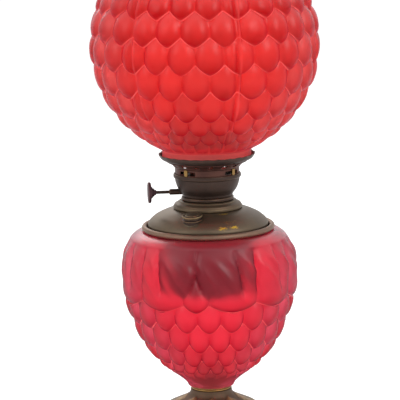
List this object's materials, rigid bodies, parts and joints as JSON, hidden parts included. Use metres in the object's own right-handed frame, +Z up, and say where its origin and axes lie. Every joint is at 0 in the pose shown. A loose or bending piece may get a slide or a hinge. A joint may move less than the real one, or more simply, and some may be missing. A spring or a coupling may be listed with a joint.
{
  "type": "kerosene parlor lamp",
  "caption": "Tall oil lamp: pierced cast base, scale-patterned red glass body with drop-in font, central-draught burner, glass chimney and ball shade.",
  "frame": {"origin": "on the table, on the lamp's upright axis under the middle of the base", "axes": "+Z up along the lamp's axis; the front is -Y and the wick raiser points to -X"},
  "size_m": [0.258, 0.258, 0.6507],
  "materials": {
    "cast_base": "cast, antiqued with a dark brown patina",
    "aged_brass": "spun, dulled and brown with age, worn bright on edges",
    "dark_brass": "nearly black tarnish, satin",
    "bright_brass": "rubbed bright, satin",
    "red_glass": "satin-etched ruby glass, translucent",
    "clear_glass": "clear, fire polished",
    "wick": "woven cotton, undyed",
    "gasket": "oiled leather washer"
  },
  "bodies": {
    "stand": {"base_casting": "cast_base", "check_ring": "bright_brass", "stay_tube": "aged_brass", "stay_nut_lower": "aged_brass", "stay_nut_upper": "aged_brass", "stay_washer": "aged_brass", "body_glass": "red_glass", "vase_ring": "aged_brass"},
    "font": {"font_bowl": "aged_brass", "font_dome": "aged_brass", "draught_tube": "aged_brass", "filler_neck": "aged_brass", "cap_gasket": "gasket", "font_collar": "aged_brass"},
    "filler_cap": {"filler_cap": "aged_brass"},
    "burner": {"burner_ring": "dark_brass", "burner_bowl": "dark_brass", "air_deck": "dark_brass", "wick_tube": "aged_brass", "raiser_sleeve": "dark_brass"},
    "raiser": {"raiser_shaft": "dark_brass", "thumb_wheel": "dark_brass"},
    "wick": {"wick": "wick", "wick_carrier": "aged_brass"},
    "spreader": {"flame_spreader": "aged_brass"},
    "gallery": {"gallery_band": "dark_brass", "gallery_clip_1": "bright_brass", "gallery_clip_2": "bright_brass", "gallery_clip_3": "bright_brass", "gallery_clip_4": "bright_brass", "gallery_cone": "dark_brass", "shade_ring": "dark_brass", "chimney_spring_1": "bright_brass", "chimney_spring_2": "bright_brass", "chimney_spring_3": "bright_brass", "chimney_spring_4": "bright_brass"},
    "chimney": {"chimney": "clear_glass"},
    "shade": {"ball_shade": "red_glass"}
  },
  "joints": [
    {"name": "font_lift", "type": "slide", "parent": "stand", "child": "font", "axis": [0, 0, 1], "range_m": [0, 0.09]},
    {"name": "cap_lift", "type": "slide", "parent": "font", "child": "filler_cap", "axis": [-0.0458, -0.1314, 0.9903], "range_m": [0, 0.03]},
    {"name": "burner_lift", "type": "slide", "parent": "font", "child": "burner", "axis": [0, 0, 1], "range_m": [0, 0.14]},
    {"name": "raiser_turn", "type": "hinge", "parent": "burner", "child": "raiser", "pos_m": [-0.062, -0.00652, 0.3158], "axis": [-0.9945, -0.1045, 0], "range_deg": [-92, 207]},
    {"name": "wick_slide", "type": "slide", "parent": "burner", "child": "wick", "axis": [0, 0, 1], "range_m": [-0.004, 0.009]},
    {"name": "spreader_lift", "type": "slide", "parent": "burner", "child": "spreader", "axis": [0, 0, 1], "range_m": [0, 0.33]},
    {"name": "gallery_lift", "type": "slide", "parent": "burner", "child": "gallery", "axis": [0, 0, 1], "range_m": [0, 0.04]},
    {"name": "chimney_lift", "type": "slide", "parent": "gallery", "child": "chimney", "axis": [0, 0, 1], "range_m": [0, 0.27]},
    {"name": "shade_lift", "type": "slide", "parent": "gallery", "child": "shade", "axis": [0, 0, 1], "range_m": [0, 0.31]}
  ],
  "couplings": [
    {"joint": "raiser_turn", "follows": "wick_slide", "rad_per_m": 400}
  ]
}
